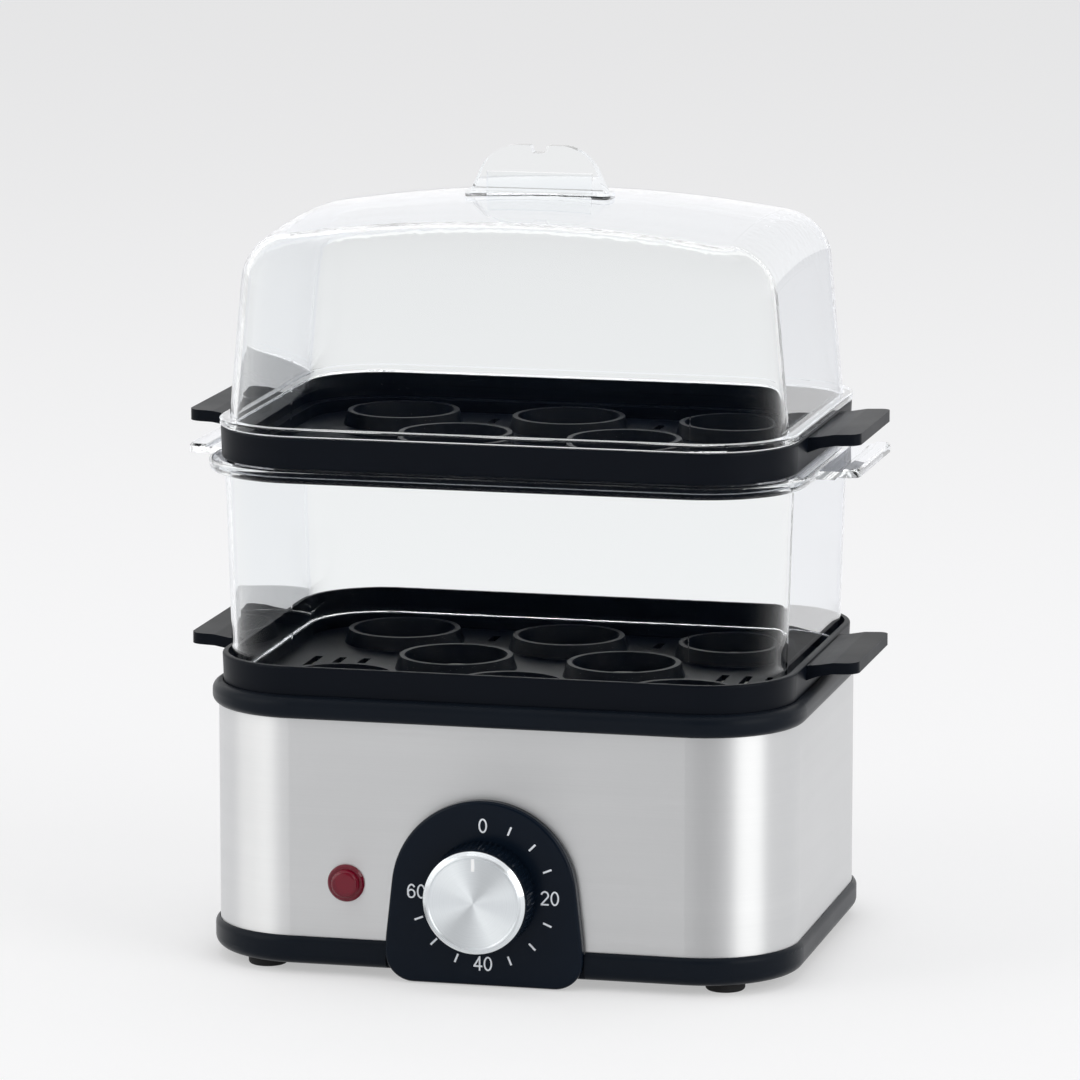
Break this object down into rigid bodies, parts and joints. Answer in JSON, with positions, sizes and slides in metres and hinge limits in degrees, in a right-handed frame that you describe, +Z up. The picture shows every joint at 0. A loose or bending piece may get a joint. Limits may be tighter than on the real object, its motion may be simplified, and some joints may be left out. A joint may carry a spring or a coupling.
{
  "type": "egg cooker",
  "caption": "Two-tier electric egg cooker and steamer: steel-banded heating base with timer dial, perforated egg trays, clear tier and clear domed lid.",
  "frame": {"origin": "on the table, at the centre of the steel band's outline, on the axis that the tiers stack along", "axes": "+Z up along the stack, +Y to the rear, towards the cord gland; the dial faces -Y; +X is to the right seen from the front"},
  "size_m": [0.216, 0.162, 0.2538],
  "materials": {
    "black_plastic": "satin moulded",
    "tray_black": "satin moulded",
    "dial_black": "soft gloss",
    "rubber": "matt",
    "silicone": "matt",
    "brushed_steel": "brushed lengthwise",
    "stainless_dish": "satin",
    "zinc_steel": "zinc plated",
    "aluminium": "cast",
    "spun_aluminium": "spun with a bright bevel",
    "element_sheath": "annealed",
    "phenolic": "moulded",
    "white_nylon": "moulded",
    "lamp_red": "gloss",
    "bulb_glass": "gloss",
    "clear_plastic": "water clear"
  },
  "bodies": {
    "root": {"base_housing": "black_plastic", "rubber_feet": "rubber", "base_screws": "zinc_steel", "steel_sleeve": "brushed_steel", "top_ring": "black_plastic", "plate_gasket": "silicone", "heating_plate": "stainless_dish", "heat_spreader": "aluminium", "heater_element": "element_sheath", "plate_strap": "zinc_steel", "strap_nut": "zinc_steel", "thermostat": "phenolic", "thermal_fuse": "zinc_steel", "timer_body": "white_nylon", "timer_bell": "zinc_steel", "timer_screws": "zinc_steel", "dial_plate": "dial_black", "lamp_lens": "lamp_red", "lamp_bulb": "bulb_glass", "lamp_clip": "white_nylon", "cord_gland": "rubber", "terminal_block": "white_nylon", "terminal_screw": "zinc_steel"},
    "knob": {"timer_shaft": "zinc_steel", "timer_knob": "dial_black", "knob_cap": "spun_aluminium"},
    "lower_tray": {"lower_tray": "tray_black"},
    "steam_box": {"steam_box": "clear_plastic"},
    "upper_tray": {"upper_tray": "tray_black"},
    "lid": {"lid": "clear_plastic"}
  },
  "joints": [
    {"name": "timer_turn", "type": "hinge", "parent": "root", "child": "knob", "pos_m": [0, -0.0754, 0.0293], "axis": [0, 1, 0], "range_deg": [0, 270]},
    {"name": "lower_tray_lift", "type": "slide", "parent": "root", "child": "lower_tray", "axis": [0, 0, 1], "range_m": [0, 0.06]},
    {"name": "steam_box_lift", "type": "slide", "parent": "lower_tray", "child": "steam_box", "axis": [0, 0, 1], "range_m": [0, 0.09]},
    {"name": "upper_tray_lift", "type": "slide", "parent": "steam_box", "child": "upper_tray", "axis": [0, 0, 1], "range_m": [0, 0.06]},
    {"name": "lid_lift", "type": "slide", "parent": "upper_tray", "child": "lid", "axis": [0, 0, 1], "range_m": [0, 0.1]}
  ]
}
